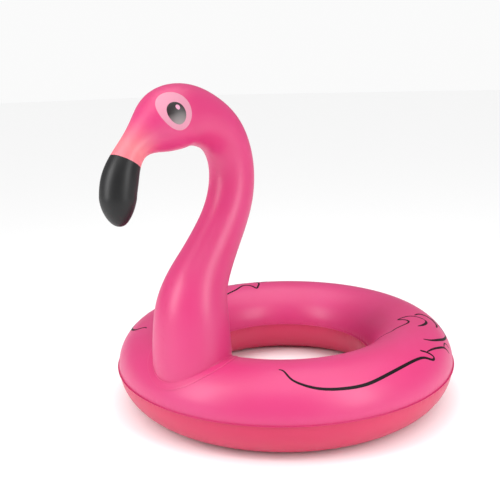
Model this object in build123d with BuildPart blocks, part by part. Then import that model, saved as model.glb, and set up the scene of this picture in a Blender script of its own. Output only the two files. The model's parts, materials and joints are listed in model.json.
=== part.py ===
from build123d import *
import math
import os

# Inflatable flamingo swim ring, blown up and standing on level ground.
# Millimetres. +Z is up, the bird faces -Y and its left side is +X.
# The origin is the centre of the ring's hole, at ground level.

# Film and welds
film = 0.4                  # thickness of the pink and black sheets
weld_lip = 4.0              # width of the flat weld round each edge of the ring

# Ring
ring_radius = 400.0         # centre of the hole to the middle of the tube
tube_half_width = 125.5     # tube, measured level
tube_half_height = 121.0    # tube, measured upright
ground_flat = 3.0           # how far the tube's underside is pressed flat

# Neck foot, an oval on top of the tube
foot_forward = 106.0        # half length of the oval, towards the front
foot_side = 116.0           # half width of the oval
band_forward = 10.0         # how far the foot band shows in front and behind
band_side = 21.0            # how far it shows at the sides
band_film = 0.8             # thickness of the foot band

# Neck and head, as half widths of the round sections
throat_radius = 99.0        # just above the foot
neck_radius = 64.0          # slimmest part of the neck
head_radius = 83.0          # through the eyes
bill_root_radius = 38.0     # pink part of the bill
bill_radius = 46.0          # black part of the bill
bill_tip_radius = 8.0

# Valves, one for the ring and one for the neck
ring_valve_angle = 130.0    # round the ring from +X, on the bird's right at the back
ring_valve_rise = 25.0      # degrees above the level of the outer weld
neck_valve_station = 5      # which section of the neck carries the valve
valve_hole_radius = 9.0
flange_radius = 18.0
flange_film = 0.8
boot_film = 0.6
boot_depth = 9.0
stem_radius = 5.5
stem_bore_radius = 4.3
stem_below = 14.0           # stem end, below the film
stem_above = 2.4            # stem rim, above the film
plug_length = 6.5
plug_clearance = 0.1        # plug to bore, and boot to stem
plug_tip_radius = 2.5
cap_radius = 7.0
cap_film = 1.6
pull_tab_reach = 11.0
pivot_reach = 14.0          # stem axis to the bend of the tether
tether_width = 6.0
tether_film = 0.9
flap_radius = 5.0
flap_film = 0.8
flap_pivot_reach = 6.6
small_gap = 0.1

ring_level = tube_half_height - ground_flat     # height of the ring's weld plane
crown = tube_half_height                        # top of the tube above that plane

# The spine of the neck: (forward of the tube's middle, above the weld plane,
# half size in the bird's own plane, half size sideways).
spine = [
    (0, crown - 60, foot_forward, foot_side),
    (0, crown, foot_forward, foot_side),
    (-2, crown + 65, foot_forward - 2, foot_side - 6),
    (-9, crown + 131, throat_radius, throat_radius + 2),
    (-30, crown + 188, throat_radius - 11, throat_radius - 11),
    (-64, crown + 240, neck_radius + 13, neck_radius + 13),
    (-104, crown + 294, neck_radius + 6, neck_radius + 6),
    (-145, crown + 354, neck_radius + 2, neck_radius + 2),
    (-173, crown + 415, neck_radius + 1, neck_radius + 1),
    (-183, crown + 480, neck_radius, neck_radius),
    (-170, crown + 548, neck_radius, neck_radius),
    (-134, crown + 600, neck_radius + 3, neck_radius + 3),
    (-76, crown + 634, head_radius - 10, head_radius - 10),
    (-10, crown + 649, head_radius - 2, head_radius - 2),
    (36, crown + 644, head_radius, head_radius),
    (78, crown + 628, head_radius - 9, head_radius - 9),
    (122, crown + 606, bill_root_radius + 14, bill_root_radius + 14),
    (160, crown + 580, bill_root_radius, bill_root_radius),
    (189, crown + 546, bill_root_radius + 2, bill_root_radius + 2),
    (209, crown + 504, bill_radius, bill_radius),
    (218, crown + 463, bill_radius, bill_radius),
    (218, crown + 430, bill_radius - 10, bill_radius - 10),
    (212, crown + 403, bill_tip_radius + 11, bill_tip_radius + 11),
    (209, crown + 395, bill_tip_radius, bill_tip_radius),
]
bill_station = 18           # the black film starts at this section


def at(forward, up):
    return Vector(0, -(ring_radius + forward), ring_level + up)


def station_plane(i):
    before = spine[max(i - 1, 0)]
    after = spine[min(i + 1, len(spine) - 1)]
    along = at(after[0], after[1]) - at(before[0], before[1])
    here = at(spine[i][0], spine[i][1])
    return Plane(origin=here, x_dir=(1, 0, 0), z_dir=along)


def neck_half(first, last, inner, outer):
    # right half of a skin between two sections; inner and outer say how far its two
    # faces lie from the neck's outer face
    with BuildPart() as half:
        for i in range(first, last + 1):
            across, deep = spine[i][3], spine[i][2]
            with BuildSketch(station_plane(i)):
                Ellipse(across + outer, deep + outer)
                Ellipse(across + inner, deep + inner, mode=Mode.SUBTRACT)
                Rectangle(2 * foot_side, 4 * foot_side, mode=Mode.INTERSECT,
                          align=(Align.MAX, Align.CENTER))
        loft()
    return half.part


def ring_section(grow, grow_floor):
    # closed outline of the tube, flat where it stands on the ground
    with BuildSketch(Plane.XZ) as outline:
        with Locations((ring_radius, ring_level)):
            Ellipse(tube_half_width + grow, tube_half_height + grow)
        with Locations((ring_radius, grow_floor)):
            Rectangle(3 * tube_half_width, 2 * tube_half_height, mode=Mode.SUBTRACT,
                      align=(Align.CENTER, Align.MAX))
    return outline.sketch


def ring_solid():
    with BuildPart() as body:
        add(ring_section(0, 0))
        revolve(axis=Axis.Z)
    return body.part


def ring_cover(thickness):
    # a skin that lies on the whole ring
    with BuildPart() as body:
        with BuildSketch(Plane.XZ):
            add(ring_section(thickness, 0))
            add(ring_section(0, 0), mode=Mode.SUBTRACT)
        revolve(axis=Axis.Z)
    return body.part


def ring_sheet(upper):
    # half of the tube's wall with its two weld lips
    low = 0 if upper else -1
    keep = Align.MIN if upper else Align.MAX
    with BuildPart() as sheet:
        with BuildSketch(Plane.XZ):
            add(ring_section(0, 0))
            with Locations((ring_radius, ring_level + (low + 0.5) * film)):
                Rectangle(2 * (tube_half_width + weld_lip), film)
            add(ring_section(-film, film), mode=Mode.SUBTRACT)
            with Locations((ring_radius, ring_level)):
                Rectangle(4 * tube_half_width, 3 * tube_half_height, mode=Mode.INTERSECT,
                          align=(Align.CENTER, keep))
        revolve(axis=Axis.Z)
    return sheet.part


def ring_valve_plane():
    rise = math.radians(ring_valve_rise)
    turn = math.radians(ring_valve_angle)
    out = ring_radius + tube_half_width * math.cos(rise)
    up = ring_level + tube_half_height * math.sin(rise)
    normal_out = math.cos(rise) / tube_half_width
    normal_up = math.sin(rise) / tube_half_height
    origin = (out * math.cos(turn), out * math.sin(turn), up)
    normal = Vector(normal_out * math.cos(turn), normal_out * math.sin(turn), normal_up)
    return valve_plane(origin, normal)


def neck_valve_plane():
    before = spine[neck_valve_station - 1]
    here = spine[neck_valve_station]
    after = spine[neck_valve_station + 1]
    along = at(after[0], after[1]) - at(before[0], before[1])
    slope = (after[3] - before[3]) / along.length
    origin = at(here[0], here[1]) - Vector(here[3], 0, 0)
    normal = Vector(-1, 0, 0) - along.normalized() * slope
    return valve_plane(origin, normal)


def valve_plane(origin, normal):
    # local z points out of the film, local x points down the film
    normal = normal.normalized()
    down = Vector(0, 0, -1)
    along = down - normal * down.dot(normal)
    return Plane(origin=origin, x_dir=along, z_dir=normal)


def save(part, name):
    part.label = name
    export_step(part, "parts/" + name + ".step")


def rod(plane, radius, low, high):
    with BuildPart() as body:
        with BuildSketch(plane.offset(low)):
            Circle(radius)
        extrude(amount=high - low)
    return body.part


def tube_wall(plane, profile):
    # profile points are (distance from the valve's axis, height)
    with BuildPart() as body:
        with BuildSketch(Plane(origin=plane.origin, x_dir=plane.x_dir, z_dir=-plane.y_dir)):
            with BuildLine():
                Polyline(*profile, close=True)
            make_face()
        revolve(axis=Axis(plane.origin, plane.z_dir))
    return body.part


def strap(plane, near, far, low, high):
    # flat strip on the upper side of the valve, from near to far off the axis
    with BuildPart() as body:
        with BuildSketch(plane.offset(low)):
            with Locations((-(near + far) / 2, 0)):
                Rectangle(far - near, tether_width)
        extrude(amount=high - low)
    return body.part


def bead(plane, reach, height, radius):
    # bend line of a strap: a short rod across the valve
    middle = plane.from_local_coords((-reach, 0, height))
    across = Plane(origin=middle, x_dir=plane.x_dir, z_dir=plane.y_dir)
    return rod(across, radius, -tether_width / 2, tether_width / 2)


def make_flange(name, plane, skin):
    # disc that follows the film, made from the skin that lies on it
    with BuildPart() as flange:
        add(skin)
        add(rod(plane, flange_radius, -flange_radius, flange_radius), mode=Mode.INTERSECT)
        add(rod(plane, valve_hole_radius, -flange_radius, flange_radius), mode=Mode.SUBTRACT)
    save(flange.part, name + "_valve_flange")


def make_boot(name, plane):
    inner = stem_radius + plug_clearance
    outer = valve_hole_radius
    lip = boot_film
    profile = [
        (outer - lip, flange_film), (outer, flange_film), (outer, -2 * lip),
        (inner + 2 * lip, -boot_depth - lip), (inner, -boot_depth - lip),
        (inner, -boot_depth), (inner + lip, -boot_depth), (outer - lip, -2 * lip),
    ]
    save(tube_wall(plane, profile), name + "_valve_boot")


def make_stem(name, plane):
    ear_low = flange_film + 0.5
    with BuildPart() as stem:
        add(rod(plane, stem_radius, -stem_below, stem_above))
        add(strap(plane, stem_bore_radius, pivot_reach - 1.4, ear_low, ear_low + tether_film))
        add(rod(plane, stem_bore_radius, -stem_below, stem_above), mode=Mode.SUBTRACT)
    save(stem.part, name + "_valve_stem")


def make_stopper(name, plane):
    top = stem_above + small_gap
    wide = stem_bore_radius - plug_clearance
    profile = [
        (0, top - plug_length), (plug_tip_radius, top - plug_length), (wide, top),
        (cap_radius, top), (cap_radius, top + cap_film), (0, top + cap_film),
    ]
    with BuildPart() as stopper:
        add(tube_wall(plane, profile))
        with BuildSketch(plane.offset(top)):
            with Locations((pull_tab_reach / 2, 0)):
                SlotOverall(pull_tab_reach + tether_width, tether_width)
        extrude(amount=cap_film)
    save(stopper.part, name + "_valve_stopper")
    return stopper.part


def make_tether(name, plane, stopper):
    top = stem_above + small_gap
    middle = stem_above - 0.2
    with BuildPart() as tether:
        add(strap(plane, 0, pivot_reach, top + 0.2, top + 0.2 + tether_film))
        add(bead(plane, pivot_reach, middle, tether_film))
        add(stopper, mode=Mode.SUBTRACT)
    save(tether.part, name + "_valve_tether")


def make_flap(name, plane):
    top = -stem_below - small_gap
    with BuildPart() as flap:
        add(rod(plane, flap_radius, top - flap_film, top))
        add(strap(plane, 0, flap_pivot_reach - 0.2, top - flap_film, top))
        add(bead(plane, flap_pivot_reach, top - flap_film / 2, flap_film / 2))
    save(flap.part, name + "_valve_flap")


def make_valve(name, plane, skin):
    make_flange(name, plane, skin)
    make_boot(name, plane)
    make_stem(name, plane)
    stopper = make_stopper(name, plane)
    make_tether(name, plane, stopper)
    make_flap(name, plane)


def valve_hole(plane):
    return rod(plane, valve_hole_radius, -flange_radius, flange_radius)


os.makedirs("parts", exist_ok=True)
ring_plane = ring_valve_plane()
neck_plane = neck_valve_plane()
ring_outer = ring_solid()
tip_station = len(spine) - 1

# Ring: an upper and a lower sheet, welded at the outer edge and round the hole
with BuildPart() as ring_top_sheet:
    add(ring_sheet(True))
    add(valve_hole(ring_plane), mode=Mode.SUBTRACT)
save(ring_top_sheet.part, "ring_top_sheet")

with BuildPart() as ring_bottom_sheet:
    add(ring_sheet(False))
save(ring_bottom_sheet.part, "ring_bottom_sheet")

# Neck and head: two pink panels that meet in the bird's own plane
with BuildPart() as neck_panel:
    add(neck_half(0, bill_station, -film, 0))
    add(ring_outer, mode=Mode.SUBTRACT)

with BuildPart() as neck_left_panel:
    add(mirror(neck_panel.part, about=Plane.YZ, mode=Mode.PRIVATE))
save(neck_left_panel.part, "neck_left_panel")

with BuildPart() as neck_right_panel:
    add(neck_panel.part)
    add(valve_hole(neck_plane), mode=Mode.SUBTRACT)
save(neck_right_panel.part, "neck_right_panel")

# Bill: two black panels, closed at the tip
with BuildPart() as bill_right_panel:
    add(neck_half(bill_station, tip_station, -film, 0))
    with BuildSketch(station_plane(tip_station)):
        Circle(bill_tip_radius)
        Rectangle(4 * bill_tip_radius, 4 * bill_tip_radius, mode=Mode.INTERSECT,
                  align=(Align.MAX, Align.CENTER))
    extrude(amount=film)
save(bill_right_panel.part, "bill_right_panel")

with BuildPart() as bill_left_panel:
    add(mirror(bill_right_panel.part, about=Plane.YZ, mode=Mode.PRIVATE))
save(bill_left_panel.part, "bill_left_panel")

# Foot band: the oval strip that ties the neck to the ring, up to the neck's skin
neck_fill = neck_half(0, bill_station, -foot_forward / 3, 0)
with BuildPart() as neck_foot_band:
    with BuildSketch(Plane.XY.offset(ring_level)):
        with Locations((0, -ring_radius)):
            Ellipse(foot_side + band_side, foot_forward + band_forward)
            Ellipse(foot_side - band_side, foot_forward - band_side, mode=Mode.SUBTRACT)
    extrude(amount=crown + 10)
    add(ring_cover(band_film), mode=Mode.INTERSECT)
    add(neck_fill, mode=Mode.SUBTRACT)
    add(mirror(neck_fill, about=Plane.YZ, mode=Mode.PRIVATE), mode=Mode.SUBTRACT)
save(neck_foot_band.part, "neck_foot_band")

# Valves
make_valve("ring", ring_plane, ring_cover(flange_film))
make_valve("neck", neck_plane, neck_half(0, bill_station, 0, flange_film))
for label, plane in (("ring", ring_plane), ("neck", neck_plane)):
    print(label, "valve at", plane.origin, "out", plane.z_dir, "down", plane.x_dir)
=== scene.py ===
import json
import math

import bmesh
import bpy
import numpy as np
from mathutils import Matrix, Vector
from mathutils.bvhtree import BVHTree


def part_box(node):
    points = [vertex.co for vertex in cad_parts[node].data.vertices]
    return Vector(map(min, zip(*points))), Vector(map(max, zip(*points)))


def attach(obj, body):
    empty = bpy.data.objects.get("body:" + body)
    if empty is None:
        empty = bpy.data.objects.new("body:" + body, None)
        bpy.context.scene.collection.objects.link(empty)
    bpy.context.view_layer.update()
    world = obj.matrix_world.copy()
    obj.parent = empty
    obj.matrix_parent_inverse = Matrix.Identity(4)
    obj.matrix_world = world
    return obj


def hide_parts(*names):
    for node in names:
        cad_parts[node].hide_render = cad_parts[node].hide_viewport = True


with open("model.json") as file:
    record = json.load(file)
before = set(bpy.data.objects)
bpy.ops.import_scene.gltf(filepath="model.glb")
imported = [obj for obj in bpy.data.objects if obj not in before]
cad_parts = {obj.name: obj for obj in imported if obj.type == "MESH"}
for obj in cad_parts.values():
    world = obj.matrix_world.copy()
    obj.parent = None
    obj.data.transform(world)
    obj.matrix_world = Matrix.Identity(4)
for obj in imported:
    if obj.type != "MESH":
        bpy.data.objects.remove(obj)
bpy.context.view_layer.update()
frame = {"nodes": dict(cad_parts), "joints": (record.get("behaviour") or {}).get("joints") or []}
mm = 0.001
turn = 2 * math.pi
print("frame loaded:", len(frame["nodes"]), "nodes")

scene = bpy.context.scene
scene.view_settings.view_transform = "Standard"  # keeps a saturated pink saturated


# small helpers
def colour(code):
    # sRGB hex to linear red, green, blue, alpha
    parts = [int(code[i:i + 2], 16) / 255 for i in (1, 3, 5)]
    return [c / 12.92 if c <= 0.04045 else ((c + 0.055) / 1.055) ** 2.4 for c in parts] + [1]


def addNode(tree, kind, settings=None, links=None):
    # settings are attributes by name or input values by name or number; links are input: output socket
    node = tree.nodes.new(kind)
    for key, value in (settings or {}).items():
        if isinstance(key, str) and hasattr(node, key):
            setattr(node, key, value)
        else:
            node.inputs[key].default_value = value
    for key, source in (links or {}).items():
        tree.links.new(source, node.inputs[key])
    return node


def gridObject(name, points, material, attributes=None, flip=False, closed=False):
    # points is rows x columns x 3; closed joins the last column to the first
    rows, columns = points.shape[:2]
    number = np.arange(rows * columns).reshape(rows, columns)
    right = np.roll(number, -1, axis=1) if closed else number[:, 1:]
    left = number if closed else number[:, :-1]
    quads = np.stack([left[:-1], right[:-1], right[1:], left[1:]], axis=-1).reshape(-1, 4)
    if flip:
        quads = quads[:, ::-1]
    mesh = bpy.data.meshes.new(name)
    mesh.from_pydata(points.reshape(-1, 3).tolist(), [], quads.tolist())
    for key, values in (attributes or {}).items():
        layer = mesh.attributes.new(key, "FLOAT", "POINT")
        layer.data.foreach_set("value", np.asarray(values, np.float32).ravel())
    mesh.materials.append(material)
    mesh.shade_smooth()
    thing = bpy.data.objects.new(name, mesh)
    scene.collection.objects.link(thing)
    return thing


def weldDoubles(thing, distance=1e-5):
    work = bmesh.new()
    work.from_mesh(thing.data)
    bmesh.ops.remove_doubles(work, verts=work.verts, dist=distance)
    work.to_mesh(thing.data)
    work.free()


def applied(thing):
    # the object's modifiers made part of its mesh
    graph = bpy.context.evaluated_depsgraph_get()
    mesh = bpy.data.meshes.new_from_object(thing.evaluated_get(graph))
    mesh.name = thing.name
    thing.modifiers.clear()
    thing.data = mesh
    return thing


def thicken(thing, wall):
    # the wall goes inwards from the faces, and the rims are closed
    weldDoubles(thing)
    shell = thing.modifiers.new("wall", "SOLIDIFY")
    shell.thickness = wall
    shell.offset = -1
    shell.use_rim = True
    applied(thing)
    thing.data.shade_smooth()
    thing.data.set_sharp_from_angle(angle=math.radians(50))
    return thing


valveHole = {"radius": 9.3 * mm, "reach": 30 * mm}


def openForValve(thing, valve):
    # the film is open where the boot is welded in, and the boot's flange hides the cut edge
    boot = frame["nodes"][valve + "_valve_boot"]
    corners = np.array([boot.matrix_world @ v.co for v in boot.data.vertices])
    middle = corners.mean(axis=0)
    axis = np.array([j["axis"] for j in frame["joints"] if j["name"] == valve + "_stem_pull"][0])
    axis = axis / np.linalg.norm(axis)
    work = bmesh.new()
    work.from_mesh(thing.data)
    inside = []
    for v in work.verts:
        away = np.array(v.co) - middle
        along = away @ axis
        if abs(along) < valveHole["reach"] and np.linalg.norm(away - along * axis) < valveHole["radius"]:
            inside.append(v)
    print(thing.name, "opened for its valve at", len(inside), "vertices")
    bmesh.ops.delete(work, geom=inside, context="VERTS")
    work.to_mesh(thing.data)
    work.free()


def waves(along, length, spacing, seed):
    # smooth uneven ripples that close up after length
    chance = np.random.default_rng(seed)
    total = np.zeros_like(along)
    shares = (0.61, 0.83, 1.0, 1.31, 1.74)  # unlike spacings, so that no beat shows
    for share in shares:
        count = round(length / spacing * share)
        total += np.sin(turn * count * along / length + chance.uniform(0, turn))
    return total / len(shares)


# camera, floor, light
view = {
    "azimuth": 40, "elevation": 20.99, "distance": 2.348, "aimHeight": 0.118,
    "pitch": 12.90, "yaw": -2.64, "roll": -1.6, "lens": 51.7,
}


def makeCamera():
    data = bpy.data.cameras.new("camera")
    data.lens = view["lens"]
    data.sensor_width = 36
    data.dof.use_dof = False
    place = bpy.data.objects.new("camera", data)
    scene.collection.objects.link(place)
    pitch, yaw, roll = (math.radians(view[k]) for k in ("pitch", "yaw", "roll"))
    ahead = Vector((math.sin(yaw) * math.cos(pitch), math.cos(yaw) * math.cos(pitch), -math.sin(pitch)))
    right = ahead.cross(Vector((0, 0, 1))).normalized()
    up = right.cross(ahead)
    across = math.cos(roll) * right + math.sin(roll) * up
    upright = -math.sin(roll) * right + math.cos(roll) * up
    axes = Matrix((across, upright, -ahead)).transposed().to_4x4()
    rise = math.radians(view["elevation"])
    stand = Vector((0, -math.cos(rise), math.sin(rise))) * view["distance"]
    spin = Matrix.Rotation(math.radians(view["azimuth"]), 4, "Z")
    lift = Matrix.Translation((0, 0, view["aimHeight"]))
    place.matrix_world = lift @ spin @ Matrix.Translation(stand) @ axes
    scene.camera = place


def areaLight(name, azimuth, elevation, distance, size, power, aim):
    # azimuth counts from the bird's front towards its left
    data = bpy.data.lights.new(name, "AREA")
    data.shape = "RECTANGLE"
    data.size, data.size_y = size
    data.energy = power
    lamp = bpy.data.objects.new(name, data)
    scene.collection.objects.link(lamp)
    a, e = math.radians(azimuth), math.radians(elevation)
    away = Vector((math.sin(a) * math.cos(e), -math.cos(a) * math.cos(e), math.sin(e)))
    lamp.location = Vector(aim) + away * distance
    lamp.rotation_euler = away.to_track_quat("Z", "Y").to_euler()


studio = {
    "leftAzimuth": -14, "rightAzimuth": 84, "elevation": 25, "distance": 2.4, "size": (0.7, 1.8), "power": 32,
    "leftAim": (0, 0, 0.4), "rightAim": (0, 0, 0.3),
    "ceilingPower": 2.05, "ceilingSpread": 70, "skyLight": 0.34, "skyShown": 0.96,
    "paper": "#FBFBFB", "paperReach": 60.0,
}


def makeStudio():
    boxes = studio["elevation"], studio["distance"], studio["size"], studio["power"]
    areaLight("left softbox", studio["leftAzimuth"], *boxes, studio["leftAim"])
    areaLight("right softbox", studio["rightAzimuth"], *boxes, studio["rightAim"])
    ceiling = bpy.data.lights.new("white ceiling", "SUN")  # even light from above, over the whole floor
    ceiling.energy = studio["ceilingPower"]
    ceiling.angle = math.radians(studio["ceilingSpread"])
    scene.collection.objects.link(bpy.data.objects.new("white ceiling", ceiling))
    world = bpy.data.worlds.new("studio")
    scene.world = world
    world.use_nodes = True
    sky = world.node_tree.nodes["Background"]
    seen = addNode(world.node_tree, "ShaderNodeLightPath")
    level = addNode(world.node_tree, "ShaderNodeMapRange",
                    {"To Min": studio["skyLight"], "To Max": studio["skyShown"]},
                    {"Value": seen.outputs["Is Camera Ray"]})
    world.node_tree.links.new(level.outputs["Result"], sky.inputs["Strength"])
    sky.inputs["Color"].default_value = colour("#FFFFFF")
    paper = bpy.data.materials.new("white seamless paper, matt")
    paper.use_nodes = True
    base = paper.node_tree.nodes["Principled BSDF"]
    base.inputs["Base Color"].default_value = colour(studio["paper"])
    base.inputs["Roughness"].default_value = 0.9
    span = studio["paperReach"]
    corners = np.array([[(-span, -span, 0), (span, -span, 0)], [(-span, span, 0), (span, span, 0)]])
    gridObject("floor", corners, paper)


makeCamera()
makeStudio()
print("camera and studio made")


# materials
def newMaterial(name, values):
    material = bpy.data.materials.new(name)
    material.use_nodes = True
    base = material.node_tree.nodes["Principled BSDF"]
    for key, value in values.items():
        base.inputs[key].default_value = value
    return material, material.node_tree, base


filmPattern = {
    "drift": 180 * mm,
    "sway": 45 * mm,
    "grain": 2.5 * mm,  # the real 0.3 mm would not show
    "grainShare": 0.02,
    "bumpStrength": 0.35,
    "bumpDepth": 0.9 * mm,
    "roughness": (0.4, 0.48),
}


def filmSurface(tree, base, plain, deep, pale, seamShade=0.3):
    # pigment drifts slowly over the film, and the colour is painted deeper where the nearWeld attribute is
    # high: painted shade in the creases where the film folds into the welds, and on the foot band a flat
    # deeper tone of its second layer of film
    # a Mix node's colours are its inputs 6 and 7 and its output 2
    place = addNode(tree, "ShaderNodeTexCoord")
    drift = addNode(tree, "ShaderNodeTexNoise", {"Scale": 1 / filmPattern["drift"], "Detail": 2.0},
                    {"Vector": place.outputs["Object"]})
    tone = addNode(tree, "ShaderNodeMix", {"data_type": "RGBA", 6: colour(plain), 7: colour(pale)},
                   {0: drift.outputs["Fac"]})
    # painted shade: nearWeld mixes the deep colour in along the welds
    seam = addNode(tree, "ShaderNodeAttribute", {"attribute_name": "nearWeld"})
    amount = addNode(tree, "ShaderNodeMath", {"operation": "MULTIPLY", 1: seamShade},
                     {0: seam.outputs["Fac"]})
    shade = addNode(tree, "ShaderNodeMix", {"data_type": "RGBA", 7: colour(deep)},
                    {0: amount.outputs[0], 6: tone.outputs[2]})
    # calender rolls leave a fine unevenness, drawn coarser than it is
    grain = addNode(tree, "ShaderNodeTexNoise", {"Scale": 1 / filmPattern["grain"], "Detail": 3.0},
                    {"Vector": place.outputs["Object"]})
    sway = addNode(tree, "ShaderNodeTexNoise", {"Scale": 1 / filmPattern["sway"], "Detail": 1.0},
                   {"Vector": place.outputs["Object"]})
    both = addNode(tree, "ShaderNodeMath", {"operation": "MULTIPLY_ADD", 1: filmPattern["grainShare"]},
                   {0: grain.outputs["Fac"], 2: sway.outputs["Fac"]})
    bump = addNode(tree, "ShaderNodeBump",
                   {"Strength": filmPattern["bumpStrength"], "Distance": filmPattern["bumpDepth"]},
                   {"Height": both.outputs[0]})
    tree.links.new(bump.outputs["Normal"], base.inputs["Normal"])
    smoothest, roughest = filmPattern["roughness"]
    rough = addNode(tree, "ShaderNodeMapRange", {"To Min": smoothest, "To Max": roughest},
                    {"Value": sway.outputs["Fac"]})
    tree.links.new(rough.outputs["Result"], base.inputs["Roughness"])
    return shade


filmGloss = {
    "IOR": 1.5, "Subsurface Weight": 0.12, "Subsurface Scale": 0.02,
    "Subsurface Radius": (1.0, 0.35, 0.45), "Specular IOR Level": 0.5,
    "Coat Weight": 0.1, "Coat Roughness": 0.26,
}


def pinkFilm(name, plain, deep, pale):
    # plasticised PVC film, calendered and printed: soft gloss, light bleeds a little through it
    material, tree, base = newMaterial(name, filmGloss)
    shade = filmSurface(tree, base, plain, deep, pale)
    tree.links.new(shade.outputs[2], base.inputs["Base Color"])
    return material


def neckFilm():
    # the same film, with the salmon fade printed towards the bill
    material, tree, base = newMaterial("calendered PVC film, pink with salmon fade", filmGloss)
    shade = filmSurface(tree, base, "#CC2C69", "#BA1C50", "#D03876")
    blush = addNode(tree, "ShaderNodeAttribute", {"attribute_name": "blush"})
    faded = addNode(tree, "ShaderNodeMix", {"data_type": "RGBA", 7: colour("#E2707C")},
                    {0: blush.outputs["Fac"], 6: shade.outputs[2]})
    tree.links.new(faded.outputs[2], base.inputs["Base Color"])
    return material


def billFilm():
    # the same PVC film printed with a charcoal flood coat: satin black, faint grain
    material, tree, base = newMaterial("calendered PVC film, charcoal flood print", {
        "IOR": 1.5, "Specular IOR Level": 0.3, "Coat Weight": 0.05, "Coat Roughness": 0.3})
    shade = filmSurface(tree, base, "#131314", "#09090A", "#1B1B1C", 0.4)
    tree.links.new(shade.outputs[2], base.inputs["Base Color"])
    return material


def inkFilm(name, plain, pale, roughness):
    # gravure ink on the film: a thin even coat with fine dots of unevenness
    material, tree, base = newMaterial(name, {"IOR": 1.5, "Specular IOR Level": 0.15})
    place = addNode(tree, "ShaderNodeTexCoord")
    dots = addNode(tree, "ShaderNodeTexNoise", {"Scale": 1 / (3 * mm), "Detail": 2.0},
                   {"Vector": place.outputs["Object"]})
    tone = addNode(tree, "ShaderNodeMix", {"data_type": "RGBA", 6: colour(plain), 7: colour(pale)},
                   {0: dots.outputs["Fac"]})
    tree.links.new(tone.outputs[2], base.inputs["Base Color"])
    rough = addNode(tree, "ShaderNodeMapRange", {"To Min": roughness, "To Max": roughness + 0.08},
                    {"Value": dots.outputs["Fac"]})
    tree.links.new(rough.outputs["Result"], base.inputs["Roughness"])
    return material


def irisInk():
    # two inks that run into each other, dark brown above and grey below
    material, tree, base = newMaterial("gravure ink, brown to grey fade", {"IOR": 1.5})
    fall = addNode(tree, "ShaderNodeAttribute", {"attribute_name": "fall"})
    ramp = addNode(tree, "ShaderNodeValToRGB", links={"Fac": fall.outputs["Fac"]})
    ramp.color_ramp.elements[0].position = 0.48
    ramp.color_ramp.elements[0].color = colour("#1C1013")
    ramp.color_ramp.elements[1].position = 0.95
    ramp.color_ramp.elements[1].color = colour("#857A7B")
    place = addNode(tree, "ShaderNodeTexCoord")
    dots = addNode(tree, "ShaderNodeTexNoise", {"Scale": 1 / (2 * mm)}, {"Vector": place.outputs["Object"]})
    rough = addNode(tree, "ShaderNodeMapRange", {"To Min": 0.34, "To Max": 0.46},
                    {"Value": dots.outputs["Fac"]})
    tree.links.new(ramp.outputs["Color"], base.inputs["Base Color"])
    tree.links.new(rough.outputs["Result"], base.inputs["Roughness"])
    return material


def valveVinyl():
    # soft clear PVC, injection moulded: milky, half see-through, faint flow marks
    material, tree, base = newMaterial("moulded soft PVC, milky clear", {
        "IOR": 1.52, "Transmission Weight": 0.25, "Subsurface Weight": 0.25,
        "Subsurface Scale": 0.004, "Subsurface Radius": (1.0, 0.8, 0.85)})
    place = addNode(tree, "ShaderNodeTexCoord")
    flow = addNode(tree, "ShaderNodeTexNoise", {"Scale": 1 / (14 * mm), "Detail": 1.0},
                   {"Vector": place.outputs["Object"]})
    tone = addNode(tree, "ShaderNodeMix", {"data_type": "RGBA", 6: colour("#F1E6EB"), 7: colour("#E6D3DC")},
                   {0: flow.outputs["Fac"]})
    rough = addNode(tree, "ShaderNodeMapRange", {"To Min": 0.22, "To Max": 0.34},
                    {"Value": flow.outputs["Fac"]})
    bump = addNode(tree, "ShaderNodeBump", {"Strength": 0.2, "Distance": 0.15 * mm},
                   {"Height": flow.outputs["Fac"]})
    tree.links.new(tone.outputs[2], base.inputs["Base Color"])
    tree.links.new(rough.outputs["Result"], base.inputs["Roughness"])
    tree.links.new(bump.outputs["Normal"], base.inputs["Normal"])
    return material


upperPink = pinkFilm("calendered PVC film, hot pink", "#CC2C69", "#BA1C50", "#D03876")
# the lower sheet is the same hot pink film painted darker: painted shade of the underside
pinkPaintedUndersideShade = pinkFilm("calendered PVC film, hot pink with painted underside shade", "#C4184A", "#B2123E", "#CA2055")
fadedPink = neckFilm()
charcoal = billFilm()
strokeInk = inkFilm("gravure ink, black", "#0C0508", "#170C12", 0.5)
patchInk = inkFilm("gravure ink, pale pink", "#CA8499", "#CE8DA2", 0.36)
glintInk = inkFilm("gravure ink, light pink", "#D38FAA", "#D89CB6", 0.36)
pupilInk = irisInk()
softVinyl = valveVinyl()
print("materials made")

# ring
ringLow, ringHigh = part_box("ring_top_sheet")
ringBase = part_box("ring_bottom_sheet")[0]
ring = {
    "film": 0.4 * mm,
    "weldLip": 4 * mm,
    "tubeHalfWidth": 125.5 * mm,
    "columns": 860,
    "rows": 56,
    "puckerHeight": 0.7 * mm,
    "puckerReach": 14 * mm,
    "puckerSpacing": 21 * mm,
    "holePuckers": 1.5,  # times the height of those at the outer weld
    "puckerDip": 0.6,
    "rowCrowding": 0.55,
    "weldHold": 2 * mm,
    # painted shade along the welds: how far it reaches, and its strength at the hole
    "weldShade": 5 * mm,
    "holeShade": 0.4,
}
weldLevel = ringLow.z
ringRadius = ringHigh.x - ring["weldLip"] - ring["tubeHalfWidth"]
tubeHalfHeight = ringHigh.z - weldLevel


def ringPoint(across, overTube, lift=0.0):
    # across counts from the bird's front towards its left, overTube from the outer weld over the top
    wide, tall = ring["tubeHalfWidth"], tubeHalfHeight
    outX, outZ = np.cos(overTube) / wide, np.sin(overTube) / tall
    size = np.hypot(outX, outZ)
    rho = ringRadius + wide * np.cos(overTube) + lift * outX / size
    height = weldLevel + tall * np.sin(overTube) + lift * outZ / size
    return np.stack([rho * np.sin(across), -rho * np.cos(across), height], axis=-1)


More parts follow.
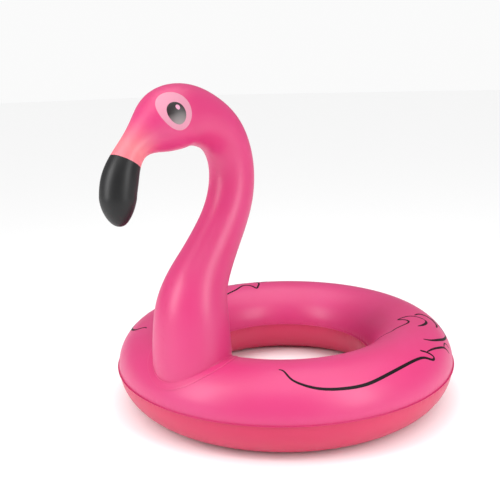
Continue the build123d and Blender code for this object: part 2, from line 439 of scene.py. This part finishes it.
def ringHeight(x, y):
    off = np.clip((np.hypot(x, y) - ringRadius) / ring["tubeHalfWidth"], -1, 1)
    return weldLevel + tubeHalfHeight * np.sqrt(1 - off ** 2)


def ringSheet(name, node, side, material):
    # side is 1 for the upper sheet and -1 for the lower one
    columns, rows = ring["columns"], ring["rows"]
    across = np.linspace(0, turn, columns, endpoint=False)[None, :]
    share = np.linspace(0, 1, rows)[:, None]
    crowded = share - np.sin(turn * share) / turn * ring["rowCrowding"]  # closer rows at the two welds
    overTube = crowded * math.pi
    overTube = np.broadcast_to(overTube, (rows, columns))
    across = np.broadcast_to(across, (rows, columns))
    reach, tall = ring["puckerReach"], ring["puckerHeight"]
    lift = np.zeros((rows, columns))
    near = np.zeros((rows, columns))
    # painted shade: along each weld the film is painted deeper through nearWeld, fading over weldShade,
    # weaker at the hole
    welds = ((0, 11, 1.0, 1.0), (math.pi, 12, ring["holePuckers"], ring["holeShade"]))
    for edge, seed, strength, shade in welds:
        away = np.abs(overTube - edge) * ring["tubeHalfWidth"]
        radius = ringRadius + math.cos(edge) * ring["tubeHalfWidth"]
        bump = waves(across * radius, turn * radius, ring["puckerSpacing"], seed)
        hold = 1 - np.exp(-(away / ring["weldHold"]) ** 2)
        fade = np.exp(-(away / reach) ** 2)
        lift += tall * strength * (bump - ring["puckerDip"]) * fade * hold
        near = np.maximum(near, shade * np.exp(-(away / ring["weldShade"]) ** 2))
    points = ringPoint(across, side * overTube, lift)
    film = ring["film"] * side
    points[..., 2] = np.where(side > 0, np.maximum(points[..., 2], weldLevel + film), points[..., 2])
    points[..., 2] = np.where(side < 0, np.minimum(points[..., 2], weldLevel + film), points[..., 2])
    points[..., 2] = np.maximum(points[..., 2], ringBase.z)
    lips = []
    for place in (ringRadius + ring["tubeHalfWidth"] + ring["weldLip"],
                  ringRadius - ring["tubeHalfWidth"] - ring["weldLip"]):
        lip = np.stack([place * np.sin(across[0]), -place * np.cos(across[0]),
                        np.full(columns, weldLevel + film)], axis=-1)
        lips.append(lip[None])
    points = np.concatenate([lips[0], points, lips[1]])
    # the weld lips carry the full painted shade
    near = np.concatenate([np.ones((1, columns)), near, np.ones((1, columns))])
    sheet = gridObject(name, points, material, {"nearWeld": near}, flip=side < 0, closed=True)
    if side > 0:
        openForValve(sheet, "ring")
    thicken(sheet, ring["film"])
    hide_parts(node)
    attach(sheet, "float")


ringSheet("ringUpperSheet", "ring_top_sheet", 1, upperPink)
ringSheet("ringLowerSheet", "ring_bottom_sheet", -1, pinkPaintedUndersideShade)
print("ring sheets made")

# neck, head and bill
# places along the bird, in millimetres: forward of the tube's middle, above the crown of the ring,
# half size in the bird's own plane, half size sideways
spine = np.array([
    (0, -60, 106, 116), (0, 0, 106, 116), (-2, 65, 104, 110), (-9, 131, 99, 101),
    (-30, 188, 88, 88), (-64, 240, 77, 77), (-104, 294, 70, 70), (-145, 354, 66, 66),
    (-173, 415, 65, 65), (-183, 480, 64, 64), (-170, 548, 64, 64), (-134, 600, 67, 67),
    (-76, 634, 73, 73), (-10, 649, 81, 81), (36, 644, 83, 83), (78, 628, 74, 74),
    (122, 606, 52, 52), (160, 580, 38, 38), (189, 546, 40, 40), (209, 504, 46, 46),
    (218, 463, 46, 46), (218, 430, 46, 46), (213, 403, 46, 46), (209, 392, 46, 46),
]) * mm
neck = {
    "film": 0.4 * mm,
    "billStation": 18,
    "tipStation": 20,
    "tipPower": 1.5,
    "rows": 300,
    "tipRows": 110,
    "halfColumns": 56,
    "footHalvings": 40,
    "seamDip": 0.12 * mm,
    "seamWidth": 1.6 * mm,
    "puckerHeight": 0.3 * mm,
    "puckerReach": 16 * mm,
    "puckerSpacing": 24 * mm,
    "puckerDip": 0.5,
    "backPuckers": 0.35,  # times the height of those on the throat's side
    "fullPuckerRadius": 60 * mm,
    # painted shade in the crease along the seams between the two panels: its strength and width
    "seamShade": 0.1,
    "seamShadeWidth": 2 * mm,
    "fadeLength": 105 * mm,
    "fadeGain": 1.25,
}


def splineCurvatures(knots, values):
    # second derivatives of the natural cubic spline through the values
    count = len(knots)
    step = np.diff(knots)
    system = np.eye(count)
    known = np.zeros((count, values.shape[1]))
    for i in range(1, count - 1):
        system[i, i - 1:i + 2] = step[i - 1], 2 * (step[i - 1] + step[i]), step[i]
        known[i] = 6 * ((values[i + 1] - values[i]) / step[i] - (values[i] - values[i - 1]) / step[i - 1])
    return np.linalg.solve(system, known)


def onSpline(knots, values, bends, along):
    # value and slope at lengths along the spline
    i = np.clip(np.searchsorted(knots, along, side="right") - 1, 0, len(knots) - 2)
    step = (knots[i + 1] - knots[i])[..., None]
    a = (knots[i + 1] - along)[..., None] / step
    b = 1 - a
    low, high, bendLow, bendHigh = values[i], values[i + 1], bends[i], bends[i + 1]
    value = a * low + b * high + ((a ** 3 - a) * bendLow + (b ** 3 - b) * bendHigh) * step ** 2 / 6
    slope = (high - low) / step + ((1 - 3 * a ** 2) * bendLow + (3 * b ** 2 - 1) * bendHigh) * step / 6
    return value, slope


chord = np.hypot(*np.diff(spine[:, :2], axis=0).T)
spineKnots = np.concatenate([[0], np.cumsum(chord)])
spineBends = splineCurvatures(spineKnots, spine)
spineLength = spineKnots[-1]
billStart = spineKnots[neck["billStation"]]
tipStart = spineKnots[neck["tipStation"]]


def onSpine(along):
    # place and sizes at a length along the spine, and how they change
    value, slope = onSpline(spineKnots, spine, spineBends, along)
    gone = np.clip((along - tipStart) / (spineLength - tipStart), 0, 1)[..., None]
    tipSize = spine[neck["tipStation"], 2:] * np.sqrt(1 - gone ** neck["tipPower"])  # a blunt round tip
    value[..., 2:] = np.where(gone > 0, tipSize, value[..., 2:])
    return value, slope


def neckPoint(along, around, lift=0.0):
    # around is 0 on the bird's back and forehead, half a turn on its chest and throat
    value, slope = onSpine(along)
    forward, up, inPlane, sideways = (value[..., k] for k in range(4))
    size = np.hypot(slope[..., 0], slope[..., 1])
    backF, backU = -slope[..., 1] / size, slope[..., 0] / size
    off = (inPlane + lift) * np.cos(around)
    x = (sideways + lift) * np.sin(around)
    y = -(ringRadius + forward + off * backF)
    z = ringHigh.z + up + off * backU
    return np.stack([x, y, z], axis=-1)


def footLength(around):
    # length along the spine at which the neck comes out of the ring
    low, high = np.zeros_like(around), np.full_like(around, spineKnots[2])
    for halving in range(neck["footHalvings"]):
        middle = (low + high) / 2
        point = neckPoint(middle, around)
        outside = point[..., 2] > ringHeight(point[..., 0], point[..., 1])
        low, high = np.where(outside, low, middle), np.where(outside, middle, high)
    return low


def neckShell(name, node, side, start, end, material, tip=False):
    columns, rows = neck["halfColumns"], neck["tipRows" if tip else "rows"]
    around = np.broadcast_to(np.linspace(0, math.pi, columns)[None, :], (rows, columns))
    share = np.linspace(0, 1, rows)[:, None]
    share = 1 - (1 - share) ** 2 if tip else share  # closer rows towards the bill's tip
    first = footLength(around[0])[None, :] if start is None else start
    along = np.broadcast_to(first + (end - first) * share, (rows, columns))
    radius = onSpine(along)[0][..., 3]
    away = np.minimum(around, math.pi - around) * radius
    reach = neck["puckerReach"]
    ripple = waves(along, spineLength, neck["puckerSpacing"], 21 if side > 0 else 22) - neck["puckerDip"]
    inner = np.where(around > math.pi / 2, 1.0, neck["backPuckers"])
    fade = np.exp(-(away / reach) ** 2) * np.clip(radius / neck["fullPuckerRadius"], 0, 1)
    lift = neck["puckerHeight"] * inner * ripple * fade
    lift = lift - neck["seamDip"] * np.exp(-(away / neck["seamWidth"]) ** 2)
    points = neckPoint(along, around, lift)
    points[..., 0] *= side
    # painted shade along the seam crease, carried by nearWeld
    near = neck["seamShade"] * np.exp(-(away / neck["seamShadeWidth"]) ** 2)
    blush = np.clip((along - (billStart - neck["fadeLength"])) / neck["fadeLength"], 0, 1)
    blush = blush ** 2 * (3 - 2 * blush)
    blush = np.clip(blush * neck["fadeGain"], 0, 1)
    values = {"nearWeld": near, "blush": blush}
    shell = gridObject(name, points, material, values, flip=side > 0)
    if side < 0 and not tip:
        openForValve(shell, "neck")
    thicken(shell, neck["film"])
    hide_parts(node)
    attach(shell, "float")
    return shell


neckShells = {}
for side, word in ((1, "left"), (-1, "right")):
    neckShells[side] = neckShell(word + "NeckPanel", "neck_" + word + "_panel", side, None, billStart,
                                 fadedPink)
    neckShell(word + "BillPanel", "bill_" + word + "_panel", side, billStart, spineLength,
              charcoal, tip=True)
print("neck, head and bill made")

# welded band round the neck's foot
band = {
    "film": 0.8 * mm,
    "forward": 116 * mm,
    "side": 137 * mm,
    "columns": 360,
    "rows": 22,
    "weldRise": 3.5 * mm,
    "weldRows": 8,
    "weldStart": 0.15,
    "weldThinnest": 0.05 * mm,
    "edgeShare": 1 / 9,  # of the width, over which the outer edge rounds off
    "shade": 0.35,
}


def footBand():
    columns, rows = band["columns"], band["rows"]
    around = np.linspace(0, turn, columns, endpoint=False)
    start = footLength(around)
    foot = neckPoint(start, around)
    outer = np.stack([band["side"] * np.sin(around), -ringRadius + band["forward"] * np.cos(around)], axis=-1)
    layers = []
    for share in np.linspace(0, 1, rows):
        flat = outer + (foot[:, :2] - outer) * share
        edge = min(1.0, share / band["edgeShare"])
        height = ringHeight(flat[:, 0], flat[:, 1]) + band["film"] * math.sqrt(1 - (1 - edge) ** 2)
        layers.append(np.concatenate([flat, height[:, None]], axis=-1))
    for share in np.linspace(band["weldStart"], 1, band["weldRows"]):
        thin = band["film"] * (1 - share ** 2) + band["weldThinnest"]
        layers.append(neckPoint(start + band["weldRise"] * share, around, thin))
    points = np.array(layers)
    near = np.full(points.shape[:2], band["shade"])
    piece = gridObject("neckFootBand", points, upperPink, {"nearWeld": near}, closed=True)
    thicken(piece, band["film"])
    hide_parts("neck_foot_band")
    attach(piece, "float")
    return piece


footBand()
print("foot band made")

# ribs that the welding tool presses in
ribs = {
    "spacing": 3.2 * mm,
    "width": 1.0 * mm,
    "length": 3.0 * mm,
    "height": 0.3 * mm,
    "sink": 0.1 * mm,
    "pathPoints": 720,
}


def ribTree():
    tree = bpy.data.node_groups.new("weldRibs", "GeometryNodeTree")
    face = tree.interface
    face.new_socket("Geometry", in_out="INPUT", socket_type="NodeSocketGeometry")
    for name in ("Spacing", "Rib Width", "Rib Length", "Rib Height"):
        face.new_socket(name, in_out="INPUT", socket_type="NodeSocketFloat")
    face.new_socket("Material", in_out="INPUT", socket_type="NodeSocketMaterial")
    face.new_socket("Geometry", in_out="OUTPUT", socket_type="NodeSocketGeometry")
    start = addNode(tree, "NodeGroupInput")
    path = addNode(tree, "GeometryNodeMeshToCurve", links={"Mesh": start.outputs["Geometry"]})
    spaced = addNode(tree, "GeometryNodeResampleCurve", {"mode": "LENGTH"},
                     {"Curve": path.outputs["Curve"], "Length": start.outputs["Spacing"]})
    size = addNode(tree, "ShaderNodeCombineXYZ", links={
        "X": start.outputs["Rib Width"], "Y": start.outputs["Rib Length"], "Z": start.outputs["Rib Height"]})
    rib = addNode(tree, "GeometryNodeMeshCube", links={"Size": size.outputs["Vector"]})
    tangent = addNode(tree, "GeometryNodeInputTangent")
    outward = addNode(tree, "GeometryNodeInputNamedAttribute",
                      {"data_type": "FLOAT_VECTOR", "Name": "outward"})
    level = addNode(tree, "FunctionNodeAlignRotationToVector", {"axis": "Z"},
                    {"Vector": outward.outputs["Attribute"]})
    turned = addNode(tree, "FunctionNodeAlignRotationToVector", {"axis": "X", "pivot_axis": "Z"},
                     {"Rotation": level.outputs["Rotation"], "Vector": tangent.outputs["Tangent"]})
    placed = addNode(tree, "GeometryNodeInstanceOnPoints", links={
        "Points": spaced.outputs["Curve"], "Instance": rib.outputs["Mesh"],
        "Rotation": turned.outputs["Rotation"]})
    real = addNode(tree, "GeometryNodeRealizeInstances", links={"Geometry": placed.outputs["Instances"]})
    painted = addNode(tree, "GeometryNodeSetMaterial", links={
        "Geometry": real.outputs["Geometry"], "Material": start.outputs["Material"]})
    end = addNode(tree, "NodeGroupOutput")
    tree.links.new(painted.outputs["Geometry"], end.inputs["Geometry"])
    return tree


def ribRow(name, points, outward, material):
    # ribs along a closed path of points, standing on the surface that faces outward
    count = len(points)
    mesh = bpy.data.meshes.new(name)
    mesh.from_pydata(points.tolist(), [(k, (k + 1) % count) for k in range(count)], [])
    layer = mesh.attributes.new("outward", "FLOAT_VECTOR", "POINT")
    layer.data.foreach_set("vector", np.asarray(outward, np.float32).ravel())
    row = bpy.data.objects.new(name, mesh)
    scene.collection.objects.link(row)
    nodes = row.modifiers.new("ribs", "NODES")
    nodes.node_group = weldRibs
    wanted = {"Spacing": ribs["spacing"], "Rib Width": ribs["width"], "Rib Length": ribs["length"],
              "Rib Height": ribs["height"] + ribs["sink"], "Material": material}
    for socket in weldRibs.interface.items_tree:
        if socket.in_out == "INPUT" and socket.name in wanted:
            nodes[socket.identifier] = wanted[socket.name]
    applied(row)
    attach(row, "float")


def lipRibs(name, radius, side, material):
    count = ribs["pathPoints"]
    around = np.linspace(0, turn, count, endpoint=False)
    height = weldLevel + side * (ring["film"] + (ribs["height"] - ribs["sink"]) / 2)
    points = np.stack([radius * np.sin(around), -radius * np.cos(around), np.full(count, height)], axis=-1)
    ribRow(name, points, np.tile([0, 0, side], (count, 1)), material)


weldRibs = ribTree()
lipMiddle = ring["tubeHalfWidth"] + ring["weldLip"] / 2
sheetSides = ((1, "Upper", upperPink, "pink_film"), (-1, "Lower", pinkPaintedUndersideShade, "pink_film_lower"))
for side, word, film, slotName in sheetSides:
    lipRibs("outerWeldRibs" + word, ringRadius + lipMiddle, side, film)
    lipRibs("holeWeldRibs" + word, ringRadius - lipMiddle, side, film)
print("weld ribs made")

# prints on the ring
# each stroke: width in millimetres at its start, middle and end, then points as degrees from the
# bird's front towards its side and degrees from the outer weld over the tube
wingStrokes = {
    "leadingEdge": ((4, 9, 6), [
        (38, 74), (39.5, 72), (41.7, 60), (45, 51), (50, 44), (57, 40.5), (65, 40.5), (71, 44),
        (78, 48), (85, 50), (90, 49.5), (94, 45.5), (97, 38), (98.4, 39), (97.7, 47), (94.7, 57.5)]),
    "branch": ((4, 7, 4), [
        (97.3, 50.5), (101.8, 48), (106, 43), (110, 36.5), (111.5, 30), (112.2, 23)]),
    "sideTip": ((3, 4.5, 2.5), [(110.5, 36.2), (113.5, 37.5), (115, 33), (115.5, 26)]),
    "feather": ((3.5, 9, 6), [(103.5, 66), (106.4, 57), (111.4, 48), (116.4, 40), (121, 35), (124.4, 32.5)]),
    "topLine": ((1.6, 6, 5), [
        (105, 158), (106, 136), (107.5, 115), (110, 111), (113.5, 103.5), (117.5, 95), (120, 94.5),
        (122.6, 101), (124.4, 108.5), (126, 101), (127, 92), (126.5, 80), (125, 71)]),
    "topHook": ((4, 9, 4), [(125, 71), (122.8, 69), (119.3, 71.6), (116, 77), (114.4, 81)]),
    "secondCrest": ((4, 11, 5), [
        (128.4, 84), (131.2, 76), (131.8, 68), (131, 60), (127.4, 51.5), (122.3, 53)]),
    "thirdCrest": ((4, 9, 5), [(131.2, 57.5), (132, 50), (129.5, 41), (124.2, 32.5)]),
}
# on the bird's right side this line runs on towards the neck
rightTopLine = ((5, 7, 5), [
    (101, 118), (106, 112.5), (110, 108.5), (113.5, 103.5), (117.5, 95), (120, 94.5),
    (122.6, 101), (124.4, 108.5), (126, 101), (127, 92), (126.5, 80), (125, 71)])
wingInk = {"lift": 0.25 * mm, "sink": 0.1 * mm, "step": 2.2 * mm, "tip": 4 * mm, "thinnest": 0.05 * mm}


def strokePiece(widths, points, side):
    # a smooth line through the points, laid on the film with a width that swells and tapers
    values = np.radians(np.array(points, float))
    spread = np.array([ringRadius, ring["tubeHalfWidth"]])
    lengths = np.hypot(*(np.diff(values, axis=0) * spread).T)
    knots = np.concatenate([[0], np.cumsum(np.sqrt(lengths))])
    bends = splineCurvatures(knots, values)
    count = max(12, int(lengths.sum() / wingInk["step"]))
    t = np.linspace(0, knots[-1], count)
    line = onSpline(knots, values, bends, t)[0]
    middle = ringPoint(line[:, 0], line[:, 1])
    normal = ringPoint(line[:, 0], line[:, 1], 1.0) - middle
    ahead = np.gradient(middle, axis=0)
    across = np.cross(normal, ahead)
    across /= np.linalg.norm(across, axis=1)[:, None]
    share = np.linspace(0, 1, count)
    start, full, end = np.array(widths) * mm
    swell = np.where(share < 0.5, start + (full - start) * np.sin(share * math.pi),
                     end + (full - end) * np.sin(share * math.pi))
    tips = np.clip(np.minimum(share, 1 - share) * lengths.sum() / wingInk["tip"], 0, 1) ** 0.5
    half = swell * tips / 2 + wingInk["thinnest"]
    section = [(-1, -wingInk["sink"]), (-1, wingInk["lift"] * 0.6), (-0.5, wingInk["lift"]),
               (0.5, wingInk["lift"]), (1, wingInk["lift"] * 0.6), (1, -wingInk["sink"])]
    rows = [middle + across * (half * place)[:, None] + normal * height for place, height in section]
    points = np.stack(rows, axis=1)
    points[..., 0] *= side
    return points


def wingPrint(name, side):
    work = bmesh.new()
    strokes = wingStrokes if side > 0 else {**wingStrokes, "topLine": rightTopLine}
    for widths, points in strokes.values():
        grid = strokePiece(widths, points, side)
        corners = [[work.verts.new(p) for p in row] for row in grid]
        for here, there in zip(corners, corners[1:]):
            for k in range(len(here)):
                after = (k + 1) % len(here)
                work.faces.new((here[k], here[after], there[after], there[k]))
        work.faces.new(corners[0])
        work.faces.new(corners[-1][::-1])
    bmesh.ops.recalc_face_normals(work, faces=work.faces)
    mesh = bpy.data.meshes.new(name)
    work.to_mesh(mesh)
    work.free()
    mesh.materials.append(strokeInk)
    piece = bpy.data.objects.new(name, mesh)
    scene.collection.objects.link(piece)
    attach(piece, "float")


wingPrint("leftWingPrint", 1)
wingPrint("rightWingPrint", -1)
print("wing prints made")

# printed eyes
# middle, outward and long directions are forward, sideways and up in the bird's own frame
eye = {
    "middle": (84, 71, 784),
    "outward": (0.17, 0.90, 0.40),
    "longWay": (0.303, -0.434, 0.849),
    "patch": (-9, 4, 51, 41),
    "iris": (-6, -5, 28.5, 23),
    "glint": (-15, 5.5, 6.4, 5),
    "patchLift": 0.12 * mm,
    "irisLift": 0.24 * mm,
    "glintLift": 0.36 * mm,
    "sink": 0.08 * mm,
    "rings": 14,
    "spokes": 72,
    "egg": 0.06,
    "rimShare": 0.06,  # of the radius, over which the ink thins out
    "rimLift": 0.4,
    "fade": (0.93, 0.2),  # the iris pales along its long way, a little askew
    "reach": 0.2,
}


def birdAxes(v):
    # forward, sideways, up to x, y, z
    return Vector((v[1], -v[0], v[2]))



def eyeDisc(name, side, material, sizes, lift, tree):
    # sizes: shift along the short and long way, then half size the long and short way
    shiftShort, shiftLong, halfLong, halfShort = (v * mm for v in sizes)
    outward = birdAxes(eye["outward"]).normalized()
    longWay = birdAxes(eye["longWay"]).normalized()
    shortWay = longWay.cross(outward).normalized()
    if shortWay.y > 0:
        shortWay = -shortWay
    forward, sideways, up = (v * mm for v in eye["middle"])
    middle = Vector((sideways, -(ringRadius + forward), weldLevel + up))
    middle += shortWay * shiftShort + longWay * shiftLong
    rings, spokes = eye["rings"], eye["spokes"]
    fadeLong, fadeShort = eye["fade"]
    points = np.zeros((rings, spokes, 3))
    fall = np.zeros((rings, spokes))
    for i, share in enumerate(np.linspace(0.001, 1, rings)):
        for k in range(spokes):
            a = turn * k / spokes
            egg = 1 + eye["egg"] * math.sin(a)
            flat = longWay * (math.sin(a) * halfLong * share)
            flat = flat + shortWay * (math.cos(a) * halfShort * share * egg)
            spot, normal = tree.ray_cast(middle + flat + outward * eye["reach"], -outward)[:2]
            edge = 1 - max(0.0, (share - 1 + eye["rimShare"]) / eye["rimShare"]) ** 2
            points[i, k] = spot + normal * lift * (eye["rimLift"] + (1 - eye["rimLift"]) * edge)
            fall[i, k] = 0.5 - 0.5 * share * (math.sin(a) * fadeLong - math.cos(a) * fadeShort)
    points[..., 0] *= side
    disc = gridObject(name, points, material, {"fall": fall}, flip=side > 0, closed=True)
    thicken(disc, lift + eye["sink"])
    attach(disc, "float")


def headTree():
    source = neckShells[1].data
    faces = [list(f.vertices) for f in source.polygons]
    return BVHTree.FromPolygons([v.co for v in source.vertices], faces)


headSurface = headTree()
for side, word in ((1, "left"), (-1, "right")):
    eyeDisc(word + "EyePatch", side, patchInk, eye["patch"], eye["patchLift"], headSurface)
    eyeDisc(word + "EyeIris", side, pupilInk, eye["iris"], eye["irisLift"], headSurface)
    eyeDisc(word + "EyeGlint", side, glintInk, eye["glint"], eye["glintLift"], headSurface)
print("eyes made")

# valves
for name, node in frame["nodes"].items():
    if "_valve_" in name:
        node.data.materials.clear()
        node.data.materials.append(softVinyl)
print("valves finished")
